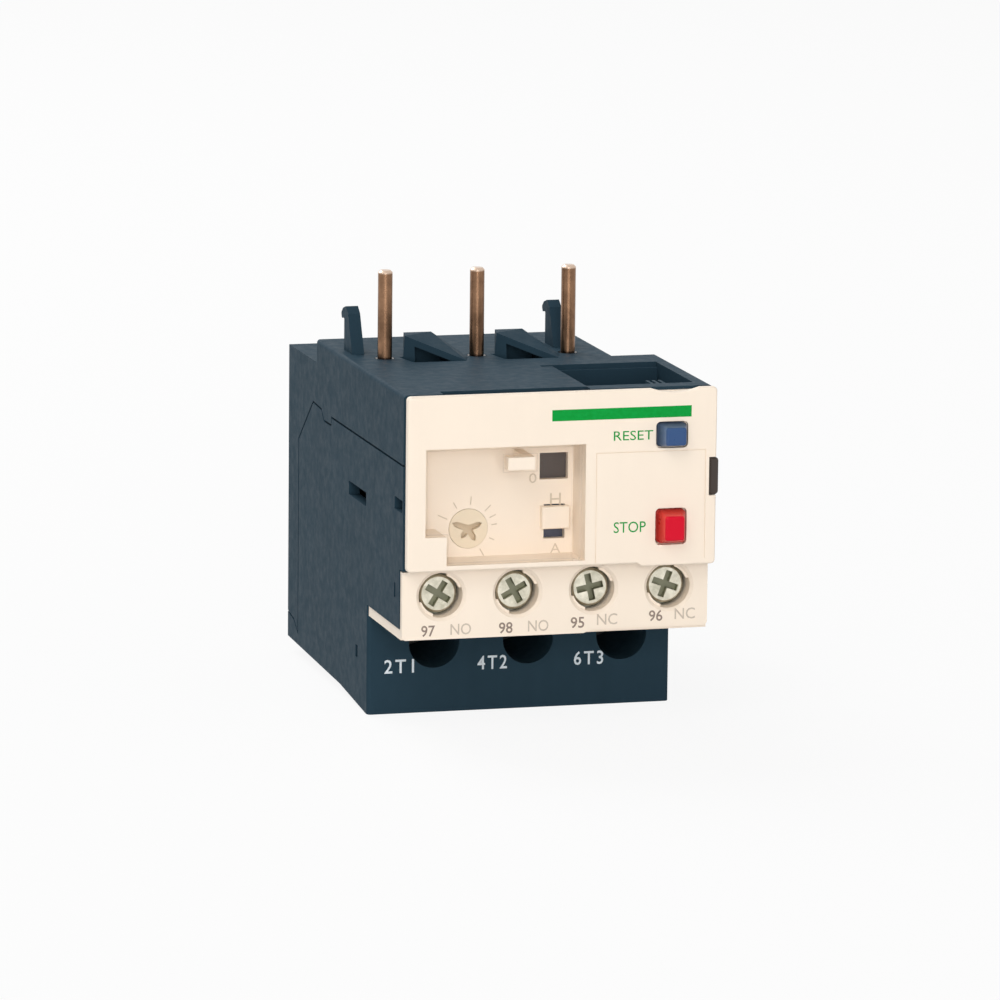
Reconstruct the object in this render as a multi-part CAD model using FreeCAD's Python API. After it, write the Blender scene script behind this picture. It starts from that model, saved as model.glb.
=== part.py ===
import FreeCAD, Part
import os
from math import cos, radians, sin

Vector = FreeCAD.Vector

# Thermal overload relay in millimetres. While it is drawn, X runs to the right from the middle of the
# body, Y runs back from the face of the front cover, and Z runs up from the bottom edge of the base.
# At the end everything moves so that the origin is where the middle line pin leaves the deck.

# Body shells
body_width = 45.0
body_depth = 70.0
deck_height = 49.5
deck_back = body_depth - 17.0
ledge_drop = 3.3
ledge_height = deck_height - ledge_drop
side_cut_x = body_width / 2 - 6.9
side_cut_y = 29.75
shell_front = 2.3
wall = 1.6
corner_radius = 0.6
base_front = 21.7
base_top = 16.0
base_rise = 2.2
seam_height = deck_height - 10.0
seam_back = body_depth - 6.7
side_cut_height = seam_height + 2.1
seam_groove = 0.3
partition = 1.4

# Clearances between pieces
fit = 0.1
gap = 0.3
running_fit = 0.05

# Line pins, three in a row on top
pin_pitch = body_width / 3 - 1.33
pin_centre_x = -body_width / 15 - 0.3
pin_y = 34.4
pin_radius = 1.05
pin_length = 12.8
pin_foot_z = deck_height - 7.3
pin_shoulder = 1.35
pin_foot_thickness = 1.2
pin_tab = 3.5

# Hooks that snap behind the contactor
hook_x = [2.6 - body_width / 2, body_width / 2 - 12.2]
hook_width = 1.8
hook_front = 39.0
hook_height = 6.5

# Guide wedges between the pins, with their pockets
wedge_height = 3.0
wedge_left = 2.9
wedge_length = 8.1
wedge_depth = 5.2
wedge_post = 1.5
wedge_skin = 0.9
pocket_depth = 3.5

# Front cover
cover_bottom = 24.75
cover_top = deck_height + 0.1
cover_height = cover_top - cover_bottom
cover_thickness = shell_front
cover_rim = 0.95
cover_rebate = 0.55
window_left = 2.65 - body_width / 2
window_right = 3.35
window_top = deck_height - 7.4
window_bottom = 25.5
window_depth = 6.5
window_wall = 0.8
window_floor = 1.1
window_notch_x = window_left + 3.1
window_notch_z = 29.6
flap_thickness = 0.9
flap_barrel_radius = 0.75
flap_pin_radius = 0.45
lug_x = -6.05
lug_z = deck_height - 9.8
lug_width = 3.9
lug_height = 1.75
lug_bore = 0.45
lug_depth = 1.8

# Setting dial
dial_x = window_left + 7.95
dial_z = cover_bottom + 0.1912 * cover_height
dial_radius = 2.8
dial_turn = 215.0
cam_low_radius = 3.0
cam_lift = 1.2
cam_thickness = 1.4

# Buttons
button_x = body_width / 2 - 6.55
reset_z = deck_height - 6.5
reset_width = 4.2
reset_height = 3.3
reset_proud = 3.2
reset_travel = 2.5
stop_z = cover_bottom + 0.2072 * cover_height
stop_width = 4.1
stop_height = 4.75
stop_proud = 2.6
stop_travel = 2.0
guide_wall = 0.8
guide_depth = 7.2
rod_radius = 1.0
rod_reach = 1.6
button_corner = 0.55
button_gap = 0.25
button_shift = -0.05
spring_wire = 0.35
spring_turns = 5
latch_low = deck_height - 15.4
latch_high = seam_height + fit

# Trip window and mode selector
trip_x = 0.52
trip_z = deck_height - 11.5
trip_width = 4.15
trip_height = 3.8
selector_x = 0.6
selector_z = cover_bottom + 0.2414 * cover_height
selector_width = 4.1
selector_height = 3.2
selector_travel = 1.4

# Auxiliary terminals
strip_front = 3.0
strip_bottom = 14.5
strip_thickness = 2.2
strip_width = body_width - 0.3
shelf_thickness = 1.4
aux_pitch = body_width / 4 - 0.15
aux_z = 20.7
aux_hole_radius = 3.2
aux_head_radius = 2.75
aux_head_depth = 1.9
aux_head_height = 2.0
aux_thread_radius = 1.75
aux_wire_space = 4.4
aux_plate = 1.0
washer_thickness = 1.0

# Power terminals in the base
terminal_pitch = body_width / 3 - 1.05
terminal_centre_x = body_width / 15 - 1.7
terminal_z = 10.2
driver_hole_radius = 3.75
power_head_radius = 3.2
power_thread_radius = 2.0
strap_y = (pin_y + 4.0 + seam_back) / 2 - 4.85
strap_thickness = 1.2
strap_width = 2.6
cage_width = terminal_pitch - 4.75
cage_height = 9.0
cage_wall = 1.4
power_wire_space = 4.4

# Bimetals, slides and trip train
bimetal_thickness = 0.8
bimetal_width = 5.0
bimetal_bottom = 18.6
heater_turns = 6
slide_y = 29.1
slide_width = 3.0
slide_thickness = 1.2
upper_slide_z = 20.75
lower_slide_z = 19.4
pivot_radius = 0.8
comp_pivot_x = 4.0 - body_width / 2
comp_pivot_z = (upper_slide_z + deck_height) / 2 - 4.125
comp_thickness = 0.6
comp_top = comp_pivot_z + 0.4216 * (deck_height - comp_pivot_z)
crank_pivot_x = comp_pivot_x + 1.7
crank_pivot_z = deck_height - 4.5
crank_arm_z = comp_top - 1.4
carriage_travel = 2.4
carriage_top = deck_height - 7.5
carriage_bottom = cover_bottom + 0.15
leaf_thickness = 0.3
leaf_width = 2.8
contact_share = 0.82
well_left = 4.7
well_right = body_width / 2 - 2.1
well_back = 22.6
well_step = 15.0
well_shallow = 2.6
well_deep = 7.0
well_wall = 1.2
flange = 1.0

half_width = body_width / 2.0
inner_x = half_width - wall
aux_x = [(i - 1.5) * aux_pitch for i in range(4)]
line_pin_x = [pin_centre_x + (i - 1) * pin_pitch for i in range(3)]
terminal_x = [terminal_centre_x + (i - 1) * terminal_pitch for i in range(3)]
floor_back = window_depth + window_floor
strip_back = strip_front + strip_thickness
head_front = strip_front + aux_head_depth
aux_head_back = head_front + aux_head_height
washer_back = aux_head_back + washer_thickness
plate_front = washer_back + aux_wire_space
cage_front = strap_y - gap - 2.6 - cage_wall
cage_low = terminal_z - cage_height / 2
cage_back = strap_y + strap_thickness + power_wire_space + cage_wall
head_back = cage_front - 3.0
bimetal_top = pin_foot_z - fit
origin = Vector(pin_centre_x, pin_y, deck_height)


def box(x0, x1, y0, y1, z0, z1):
    return Part.makeBox(x1 - x0, y1 - y0, z1 - z0, Vector(x0, y0, z0))


def block(x, z, width, height, y0, y1):
    """A box centred on x and z, from y0 back to y1."""
    return box(x - width / 2, x + width / 2, y0, y1, z - height / 2, z + height / 2)


def rod_y(x, z, radius, y0, y1):
    return Part.makeCylinder(radius, y1 - y0, Vector(x, y0, z), Vector(0, 1, 0))


def rod_z(x, y, radius, z0, z1):
    return Part.makeCylinder(radius, z1 - z0, Vector(x, y, z0), Vector(0, 0, 1))


def prism_yz(points, x0, x1):
    """A side profile of (y, z) points, extruded from x0 to x1."""
    wire = Part.makePolygon([Vector(x0, y, z) for y, z in points + points[:1]])
    return Part.Face(wire).extrude(Vector(x1 - x0, 0, 0))


def prism_xz(points, y0, y1):
    """A front profile of (x, z) points, extruded from y0 back to y1."""
    wire = Part.makePolygon([Vector(x, y0, z) for x, z in points + points[:1]])
    return Part.Face(wire).extrude(Vector(0, y1 - y0, 0))


def prism_xy(points, z0, z1):
    """A plan of (x, y) points, extruded from z0 up to z1."""
    wire = Part.makePolygon([Vector(x, y, z0) for x, y in points + points[:1]])
    return Part.Face(wire).extrude(Vector(0, 0, z1 - z0))


def flat_solid(faces):
    """A solid inside flat faces, each a list of corner points."""
    shell = Part.makeShell([Part.Face(Part.makePolygon(face + face[:1])) for face in faces])
    solid = Part.makeSolid(shell)
    if solid.Volume < 0:
        solid.reverse()
    return solid


def fuse(first, *others):
    shape = first
    for other in others:
        shape = shape.fuse(other)
    return shape.removeSplitter()


def cut(shape, *tools):
    for tool in tools:
        shape = shape.cut(tool)
    return shape


def edges_along(shape, axis, test):
    """The straight edges of a shape along one axis whose midpoint passes a test."""
    found = []
    for edge in shape.Edges:
        if edge.Curve.TypeId != "Part::GeomLine":
            continue
        direction = (edge.lastVertex().Point - edge.firstVertex().Point).normalize()
        middle = (edge.lastVertex().Point + edge.firstVertex().Point) * 0.5
        if abs(abs(direction.dot(axis)) - 1.0) < 1e-6 and test(middle):
            found.append(edge)
    return found


def underside(y):
    """Height of the base's underside, which rises from the front edge to the back."""
    knee = base_front + 16.0
    knee_rise = base_rise * 0.6
    if y < knee:
        return knee_rise * (y - base_front) / (knee - base_front)
    return knee_rise + (base_rise - knee_rise) * (y - knee) / (body_depth - knee)


def seam_line():
    """The joint between the two shells, from the front to the back and down, with its notch."""
    return [
        (shell_front, seam_height),
        (deck_back - 9.4, seam_height),
        (deck_back - 9.2, seam_height - 1.2),
        (deck_back - 5.0, seam_height - 1.2),
        (deck_back - 3.4, seam_height + 0.2),
        (deck_back + 1.6, seam_height + 0.5),
        (seam_back, seam_height - 6.4),
        (seam_back, underside(body_depth) + 1.6),
        (seam_back + 2.6, underside(body_depth) + 3.2),
        (body_depth, underside(body_depth) + 3.8),
    ]


def seam_grooves():
    """Shallow V-like grooves that show the joint on both sides of the body."""
    grooves = []
    line = seam_line()
    for (y0, z0), (y1, z1) in zip(line[:-1], line[1:]):
        along = Vector(0, y1 - y0, z1 - z0)
        length = along.Length
        across = Vector(0, -along.z, along.y) * (seam_groove / 2 / length)
        along = along * (seam_groove / 2 / length)
        ends = [
            Vector(0, y0, z0) - along - across,
            Vector(0, y1, z1) + along - across,
            Vector(0, y1, z1) + along + across,
            Vector(0, y0, z0) - along + across,
        ]
        face = Part.Face(Part.makePolygon(ends + ends[:1]))
        for side in (-half_width - seam_groove, half_width - seam_groove * 1.5):
            bar = face.copy()
            bar.translate(Vector(side, 0, 0))
            grooves.append(bar.extrude(Vector(seam_groove * 2.5, 0, 0)))
    return grooves


def driver_holes():
    return [rod_y(x, terminal_z, driver_hole_radius, base_front - 1, cage_front - gap) for x in terminal_x]


def wire_entries():
    """Rectangular funnels for the load cables, open at the bottom of the base."""
    entries = []
    for x in terminal_x:
        half = cage_width / 2 - 0.9
        entries.append(box(x - half, x + half, strap_y - 1.4, cage_back + gap, -1, base_top))
    return entries


def side_slots():
    """Latch slots in the left and right walls, each cut right through its wall."""
    slots = []
    for side in (-1, 1):
        x0 = side * (half_width + 1)
        x1 = side * (inner_x - 0.2)
        low, high = min(x0, x1), max(x0, x1)
        slots.append(box(low, high, base_front + 1.3, base_front + 11.3,
                         seam_height - 9.4, seam_height - 7.4))
        if side < 0:
            slots.append(box(low, high, shell_front + 0.3, shell_front + 4.7,
                             seam_height - 6.8, seam_height - 5.0))
        slots.append(box(low, high, strip_front + 3.2, strip_front + 3.9, base_top + 4.1, base_top + 6.2))
        slots.append(box(low, high, base_front + 5.7, base_front + 6.9, terminal_z - 3.0, terminal_z - 1.2))
    return slots


def main_housing():
    line = seam_line()
    profile = [(shell_front, base_top)] + line
    profile += [(body_depth, underside(body_depth)), (base_front + 16.0, underside(base_front + 16.0))]
    profile += [(base_front, 0.0), (base_front, base_top)]
    shell = prism_yz(profile, -half_width, half_width)
    corners = edges_along(shell, Vector(0, 0, 1), lambda p: abs(p.y - base_front) < 0.01)
    corners += edges_along(shell, Vector(0, 0, 1), lambda p: abs(p.y - body_depth) < 0.01)
    shell = shell.makeFillet(corner_radius, corners)

    front_room = box(-inner_x, inner_x, shell_front - 1, base_front, base_top - 1, seam_height + 2)
    room_front = base_front + partition
    room_back = seam_back - wall
    floor = underside(room_back) + wall
    room = box(-inner_x, inner_x, room_front, room_back, floor, seam_height + 2)
    shell = cut(shell, front_room, room)

    # Floor between the terminals and the bimetals, with slots for the load straps
    middle = box(-inner_x, inner_x, room_front, room_back, base_top, base_top + wall)
    ribs = []
    for left, right in zip(terminal_x[:-1], terminal_x[1:]):
        x = (left + right) / 2
        ribs.append(box(x - 0.6, x + 0.6, room_front, room_back, floor, base_top))
    for left, right in zip(line_pin_x[:-1], line_pin_x[1:]):
        x = (left + right) / 2 + 0.35
        ribs.append(box(x - 0.6, x + 0.6, room_front, room_back, base_top, seam_height - 1.5))
    tubes = [rod_y(x, terminal_z, driver_hole_radius + 0.9, base_front + 0.5, head_back - gap)
             for x in terminal_x]
    rails = []
    for x in terminal_x:
        for side in (-1, 1):
            middle_x = x + side * (cage_width / 2 - 0.4)
            rails.append(box(middle_x - 0.4, middle_x + 0.4, cage_front, cage_back, floor - 0.2, cage_low))
    wall_top = box(-inner_x + gap, trip_x + 2.0, base_front, room_front,
                   seam_height - 2, deck_height - wall - gap)
    screen = box(-inner_x, inner_x, base_front, room_front, base_top, seam_height - 2)
    shell = fuse(shell, middle, screen, wall_top, *(ribs + tubes + rails))

    # The strip's flange covers the front edges of the side walls, and the latch sits in a slot
    slots = [box(-half_width - 1, half_width + 1, shell_front - 1, strip_front + flange + fit,
                 base_top - 1, cover_bottom - 0.2)]
    slots.append(box(half_width - 1.4, half_width + 1, shell_front - 1, shell_front + 3.0,
                     latch_low, seam_height + 1))
    for x in terminal_x:
        slots.append(box(x - strap_width / 2 - fit, x + strap_width / 2 + fit, strap_y - fit,
                         strap_y + strap_thickness + fit, base_top - 1, base_top + wall + 1))
    low = lower_slide_z - slide_thickness / 2 - fit
    high = upper_slide_z + slide_thickness / 2 + fit
    slots.append(box(line_pin_x[0], line_pin_x[2], slide_y - slide_width / 2 - fit,
                     slide_y + slide_width / 2 + fit, low, high))
    slots.append(box(-inner_x, comp_pivot_x + 3.6, base_front - 1, room_front + 1, low, high))
    slots.append(rod_y(comp_pivot_x, comp_pivot_z, pivot_radius, base_front - 1, room_front + 1))
    slots.append(rod_y(crank_pivot_x, crank_pivot_z, pivot_radius, base_front - 1, room_front + 1))
    shell = cut(shell, *slots)
    shell = cut(shell, *driver_holes())
    shell = cut(shell, *wire_entries())
    shell = cut(shell, *side_slots())
    return cut(shell, *seam_grooves())


def hook(x):
    """A snap hook: a tapered stem with a rounded barb that points to the back."""
    back = hook_front + 4.1
    z = deck_height
    top = z + hook_height
    points = [
        (hook_front - 0.7, z - 0.5),
        (hook_front - 0.7, z),
        (hook_front + 1.9, top - 0.9),
        (hook_front + 3.2, top),
        (hook_front + 4.9, top - 0.5),
        (hook_front + 5.9, top - 1.3),
        (hook_front + 5.5, top - 2.1),
        (back, top - 1.7),
        (back, z - 0.5),
    ]
    shape = prism_yz(points, x - hook_width / 2, x + hook_width / 2)
    tip = edges_along(shape, Vector(1, 0, 0), lambda p: p.z > top - 2.2 and p.y > hook_front + 3.0)
    return shape.makeFillet(0.35, tip)


def wedge_face(x):
    """The plan line of a wedge's front face, which is the pocket's back wall too."""
    back = pin_y + 0.6
    return [(x + wedge_left, back), (x + wedge_left + wedge_length, back - wedge_depth)]


def guide_wedge(x):
    """A ramp between two pins that guides the contactor's barrier: high at the left, and down to the deck."""
    z = deck_height
    left = x + wedge_left
    back = pin_y + 4.0
    (x0, y0), (x1, y1) = wedge_face(x)
    low = [(x0, y0), (x1, y1), (x1 + 1.0, y1 + 3.0), (left + 7.6, back), (left + 0.9, back)]
    high = [(x0 + 0.3, y0 + 0.3), (left + 5.0, back), (left + 0.9, back)]
    b = [Vector(px, py, z - 1.0) for px, py in low]
    m = [Vector(px, py, z) for px, py in low]
    t = [Vector(px, py, z + wedge_height) for px, py in high]
    faces = [b, t, [m[0], m[1], t[0]], [m[1], t[1], t[0]], [m[1], m[2], t[1]], [m[2], m[3], t[1]],
             [m[3], t[2], t[1]], [m[3], m[4], t[2]], [m[4], t[0], t[2]], [m[4], m[0], t[0]]]
    faces += [[b[i], b[i - 4], m[i - 4], m[i]] for i in range(5)]
    return flat_solid(faces)


def guide_pocket(x):
    """The recess in front of a wedge."""
    face = wedge_face(x)
    corner = (face[0][0] + 0.2, face[1][1])
    plan = [(face[0][0] - 0.7, face[0][1]), corner] + face[::-1]
    pocket = prism_xy(plan, deck_height - pocket_depth, deck_height + 1)
    upright = edges_along(pocket, Vector(0, 0, 1),
                          lambda p: abs(p.x - corner[0]) < 0.01 and p.y < corner[1] + 0.01)
    return pocket.makeFillet(0.9, upright)


def wedge_hollow(x):
    """The hollow under a ramp, open to the pocket in front, with a skin over and behind it."""
    (x0, y0), (x1, y1) = wedge_face(x)
    slope = (y1 - y0) / (x1 - x0)
    left, right = x0 + wedge_post, x1 - 2 * wedge_skin
    fall = wedge_height / wedge_length
    top = deck_height + wedge_height - wedge_skin
    floor = deck_height - pocket_depth
    profile = [(left, floor), (right, floor), (right, top - fall * (right - x0)),
               (left, top - fall * (left - x0))]
    plan = [(left - 1, y0 + slope * (left - 1 - x0) - 0.2), (right + 1, y0 + slope * (right + 1 - x0) - 0.2),
            (right + 1, pin_y + 4.0 - wedge_skin), (left - 1, pin_y + 4.0 - wedge_skin)]
    return prism_xz(profile, y1 - 1.0, pin_y + 4.0 - wedge_skin).common(prism_xy(plan, floor - 1, top + 1))


def rear_housing():
    line = seam_line()
    profile = line[::-1]
    profile += [(shell_front, deck_height), (deck_back, deck_height), (deck_back, ledge_height)]
    profile += [(body_depth, ledge_height)]
    shell = prism_yz(profile, -half_width, half_width)
    corners = edges_along(shell, Vector(0, 0, 1), lambda p: abs(p.y - body_depth) < 0.01)
    corners += edges_along(shell, Vector(0, 0, 1), lambda p: abs(p.y - deck_back) < 0.01)
    corners += edges_along(shell, Vector(0, 1, 0), lambda p: abs(p.z - deck_height) < 0.01)
    corners += edges_along(shell, Vector(1, 0, 0),
                           lambda p: abs(p.z - ledge_height) < 0.01 and p.y > body_depth - 1)
    shell = shell.makeFillet(corner_radius, corners)

    roof = deck_height - wall
    front_room = box(-inner_x, inner_x, shell_front - 1, deck_back - wall, seam_height - 3, roof)
    back_room = box(-inner_x, inner_x, deck_back - wall - 1, seam_back, seam_height - 8, ledge_height - wall)
    low_room = box(-inner_x, inner_x, seam_back - 1, body_depth - wall, underside(body_depth) + 5,
                   ledge_height - wall)
    shell = cut(shell, front_room, back_room, low_room)

    # Lower shoulder behind the right part of the deck
    shoulder = box(side_cut_x, half_width + 1, side_cut_y, body_depth + 1, side_cut_height, deck_height + 1)
    plate = box(side_cut_x - wall, half_width - 0.2, side_cut_y - wall, body_depth - 0.2,
                side_cut_height - wall, side_cut_height)
    rise = box(side_cut_x - wall, side_cut_x, side_cut_y - wall, body_depth - wall,
               side_cut_height - wall, roof)
    rise = rise.common(prism_yz([(side_cut_y - wall, side_cut_height - wall), (side_cut_y - wall, roof),
                                 (deck_back - 0.5, roof), (deck_back - 0.5, ledge_height - 1),
                                 (body_depth - wall, ledge_height - 1),
                                 (body_depth - wall, side_cut_height - wall)], 0, half_width))
    front_rise = box(side_cut_x - wall, inner_x + 0.2, side_cut_y - wall, side_cut_y,
                     side_cut_height - wall, roof)
    lower = prism_yz(profile, -half_width, half_width)
    shell = fuse(cut(shell, shoulder), plate.common(lower), rise, front_rise)

    # Well at the right front: a shallow part in front, a deep part behind, and the ribbed catch
    front = shell_front + 2.8
    shallow, deep = deck_height - well_shallow, deck_height - well_deep
    tub = box(well_left - well_wall, inner_x + 0.2, front - well_wall, well_step, shallow - 0.9, roof)
    deep_tub = box(well_left - well_wall, inner_x + 0.2, well_step - well_wall, well_back + well_wall,
                   deep - well_wall, roof)
    well = box(well_left, well_right, front, well_step + 0.1, shallow, deck_height + 1)
    deep_well = box(well_left, well_right, well_step, well_back, deep, deck_height + 1)
    rabbet = box(well_left - 1.6, well_right, well_back - 0.1, well_back + 0.9,
                 deck_height - 0.7, deck_height + 1)
    catch_x = half_width - 7.9
    catch = [box(catch_x + i * 0.9, catch_x + 0.45 + i * 0.9, front + 0.8, front + 4.2, shallow - 0.5,
                 deck_height - 0.25) for i in range(3)]
    catch.append(box(catch_x - 0.3, catch_x + 2.5, front + 1.3, front + 3.7,
                     shallow - 0.5, deck_height - 0.7))
    shell = fuse(cut(fuse(shell, tub, deep_tub), well, deep_well, rabbet), *catch)

    # Ledge behind the cover's top edge
    groove = box(5.7 - half_width, well_left - 0.1, shell_front - 1, shell_front + 2.2,
                 deck_height - 1.0, deck_height + 1)
    shell = cut(shell, groove)

    # Bosses that hold the pins, the guide wedges with their pockets, and the hooks
    bosses = [box(x - 3.2, x + 3.2, pin_y - 3.2, pin_y + 3.2, pin_foot_z + pin_foot_thickness, roof + 0.2)
              for x in line_pin_x]
    slabs = [box(x + 1.6, x + 11.6, pin_y - 6.0, pin_y + 4.8, deck_height - pocket_depth - 1.4, roof + 0.2)
             for x in line_pin_x[:2]]
    shell = fuse(shell, *(bosses + slabs))
    shell = cut(shell, *[guide_pocket(x) for x in line_pin_x[:2]])
    shell = fuse(shell, *[guide_wedge(x) for x in line_pin_x[:2]])
    shell = cut(shell, *[wedge_hollow(x) for x in line_pin_x[:2]])
    shell = fuse(shell, *[hook(x) for x in hook_x])
    shell = cut(shell, *[rod_z(x, pin_y, pin_shoulder + fit, pin_foot_z, deck_height + 1)
                         for x in line_pin_x])
    return cut(shell, *seam_grooves())


def window_outline(grow):
    """The window with its cut lower left corner, grown by the given amount."""
    return [
        (window_left - grow, window_top + grow),
        (window_right + grow, window_top + grow),
        (window_right + grow, window_bottom - grow),
        (window_notch_x - grow, window_bottom - grow),
        (window_notch_x - grow, window_notch_z - grow),
        (window_left - grow, window_notch_z - grow),
    ]


def button_guide(z, width, height):
    outer = block(button_x, z, width + 2 * guide_wall + 2 * fit, height + 2 * guide_wall + 2 * fit,
                  cover_thickness - 0.2, cover_thickness + guide_depth)
    inner = block(button_x, z, width + 2 * fit, height + 2 * fit, -1, cover_thickness + guide_depth - 0.8)
    inner = inner.makeFillet(button_corner + fit, edges_along(inner, Vector(0, 1, 0), lambda p: True))
    bore = rod_y(button_x, z, rod_radius + fit, 0, cover_thickness + guide_depth + 1)
    face = block(button_x + button_shift, z, width + 2 * button_gap, height + 2 * button_gap, -1, cover_rim)
    face = face.makeFillet(button_corner + fit, edges_along(face, Vector(0, 1, 0), lambda p: True))
    return outer, fuse(inner, face), bore


def front_cover():
    step = 0.45
    outline = [
        (-half_width, cover_top),
        (half_width, cover_top),
        (half_width, cover_bottom - step),
        (half_width - 10.6, cover_bottom - step),
        (half_width - 11.2, cover_bottom),
        (-half_width, cover_bottom),
    ]
    plate = prism_xz(outline, 0.0, cover_rim)
    inset = []
    for x, z in outline:
        inward_x = -cover_rebate if x > 0 else cover_rebate
        inward_z = cover_rebate if z < cover_top else -cover_rebate
        inset.append((x + inward_x, z + inward_z))
    inner = prism_xz(inset, cover_rim - 0.1, cover_thickness)
    upright = edges_along(plate, Vector(0, 1, 0), lambda p: abs(p.x) > half_width - 0.01)
    plate = plate.makeFillet(corner_radius, upright)
    rim = edges_along(plate, Vector(0, 0, 1), lambda p: p.y < 0.01)
    rim += edges_along(plate, Vector(1, 0, 0), lambda p: p.y < 0.01 and p.z > cover_top - 0.1)
    plate = plate.makeFillet(0.3, rim)

    tray = prism_xz(window_outline(window_wall), cover_thickness - 0.5, floor_back)
    hollow = prism_xz(window_outline(0.0), -1, window_depth)
    reset = button_guide(reset_z, reset_width, reset_height)
    stop = button_guide(stop_z, stop_width, stop_height)
    lip = box(-half_width + 3, 3.0, cover_thickness - 0.5, cover_thickness + 2.4,
              deck_height - wall - 1.3, deck_height - wall - gap)
    cover = fuse(plate, inner, tray, reset[0], stop[0], lip)
    cover = cut(cover, hollow, reset[1], reset[2], stop[1], stop[2])

    # Sealing lug with its hole for the wire, and the guides behind the floor for the carriage
    lug = block(lug_x, lug_z, lug_width, lug_height, -0.2, lug_depth)
    lug = cut(lug, rod_z(lug_x - 0.5, lug_depth / 2, lug_bore, lug_z - lug_height, lug_z + lug_height))
    post = box(lug_x + 0.6, lug_x + lug_width / 2, lug_depth - 0.1, window_depth + 0.5,
               lug_z - 0.7, lug_z + lug_height / 2)
    rails = [block(trip_x + side * 2.8, trip_z - 0.25, 0.6, trip_height + 3.7,
                   floor_back - 0.2, floor_back + 3.4) for side in (-1, 1)]
    cover = fuse(cover, lug, post, *rails)

    holes = [rod_y(dial_x, dial_z, dial_radius + running_fit, window_depth - 1, floor_back + 1)]
    holes.append(block(trip_x, trip_z, trip_width, trip_height, window_depth - 1, floor_back + 1))
    slot_low = selector_z - selector_height / 2 - selector_travel - 0.15
    slot_high = selector_z + selector_height / 2 + 0.2
    holes.append(box(selector_x - 1.5, selector_x + 1.6, window_depth - 1, floor_back + 1,
                     slot_low, slot_high))
    holes.append(box(half_width - 1.1, half_width + 1, -1, cover_thickness + 1, latch_low, latch_high))
    holes.append(rod_y(button_x + 0.5, cover_top + 10.2, 10.8, -1, cover_rim + 0.6))
    axis_x = flap_axis_x()
    holes.append(rod_z(axis_x, flap_axis_y(), flap_pin_radius + running_fit,
                       window_bottom - 0.8, window_top + 0.8))

    # Fine groove around the flush panel on the right
    line = 0.14
    panel_left, panel_right, panel_top = well_left + 0.1, half_width - 1.6, reset_z - 2.2
    holes.append(box(panel_left, panel_right, -1, line, panel_top - line, panel_top))
    for x in (panel_left, panel_right - line):
        holes.append(box(x, x + line, -1, line, cover_bottom + 0.4, panel_top))
    return cut(cover, *holes)


def flap_axis_x():
    return window_right - gap - flap_barrel_radius


def flap_axis_y():
    return flap_barrel_radius + 0.1


def clear_cover():
    """The transparent flap over the window, hinged at its right edge on two stub pins."""
    axis_x, axis_y = flap_axis_x(), flap_axis_y()
    low, high = window_bottom + gap, window_top - gap
    points = [
        (window_left + gap, high),
        (axis_x, high),
        (axis_x, low),
        (window_notch_x + gap, low),
        (window_notch_x + gap, window_notch_z + gap),
        (window_left + gap, window_notch_z + gap),
    ]
    pane = prism_xz(points, 0.1, 0.1 + flap_thickness)
    slot = block(lug_x, lug_z, lug_width + 1.0, lug_height + 0.8, -1, 3)
    barrel = rod_z(axis_x, axis_y, flap_barrel_radius, low, high)
    stub = rod_z(axis_x, axis_y, flap_pin_radius, window_bottom - 0.6, window_top + 0.6)
    return fuse(cut(pane, slot), barrel, stub)


def cam_y():
    return floor_back + 1.6


def cam_profile():
    """The dial's cam: its radius grows evenly over the dial's turn and falls back over the rest."""
    points = []
    for degree in range(0, 360, 15):
        share = degree / dial_turn
        if degree > dial_turn:
            share = (360.0 - degree) / (360.0 - dial_turn)
        radius = cam_low_radius + cam_lift * share
        angle = radians(90.0 + degree)
        points.append(Vector(dial_x + radius * cos(angle), cam_y(), dial_z + radius * sin(angle)))
    curve = Part.BSplineCurve()
    curve.interpolate(points, PeriodicFlag=True)
    return curve


def setting_dial():
    head = rod_y(dial_x, dial_z, dial_radius, window_depth - 0.1, cam_y() + cam_thickness / 2)
    flange = rod_y(dial_x, dial_z, dial_radius + 0.8, floor_back + gap, floor_back + 1.2)
    cam = Part.Face(Part.Wire(cam_profile().toShape())).extrude(Vector(0, cam_thickness, 0))
    dial = fuse(head, flange, cam)
    # Cross slot for the screwdriver, with pointed arms of which one is long and points at the scale
    y0, y1 = window_depth - 1, window_depth + 1.0
    arms = []
    for turn, length in ((160.0, 2.6), (20.0, 2.1), (-60.0, 2.1), (-128.0, 1.7)):
        outline = [(0, -0.5), (length * 0.75, -0.4), (length, 0), (length * 0.75, 0.4), (0, 0.5)]
        arm = prism_xz(outline, y0, y1)
        arm.rotate(Vector(0, 0, 0), Vector(0, -1, 0), turn)
        arm.translate(Vector(dial_x, 0, dial_z))
        arms.append(arm)
    return cut(dial, *arms)


def setting_follower():
    """An arm on the compensation lever's pivot that rides on the cam and shifts the trip point."""
    y0 = cam_y()
    y1 = y0 + cam_thickness
    under = dial_z + cam_low_radius + gap
    x, z = comp_pivot_x, comp_pivot_z
    arm = prism_xz([(x - 1.0, z + 1.2), (x + 2.0, under + 1.4), (dial_x + 0.6, under + 1.4),
                    (dial_x + 1.0, under + 0.5), (dial_x + 0.5, under), (dial_x - 0.5, under),
                    (dial_x - 2.6, under + 0.5), (x + 1.2, z - 0.6)], y0, y1)
    hub = rod_y(x, z, pivot_radius + 1.0, y0, y1)
    return cut(fuse(arm, hub), rod_y(x, z, pivot_radius + running_fit, y0 - 1, y1 + 1))


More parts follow.
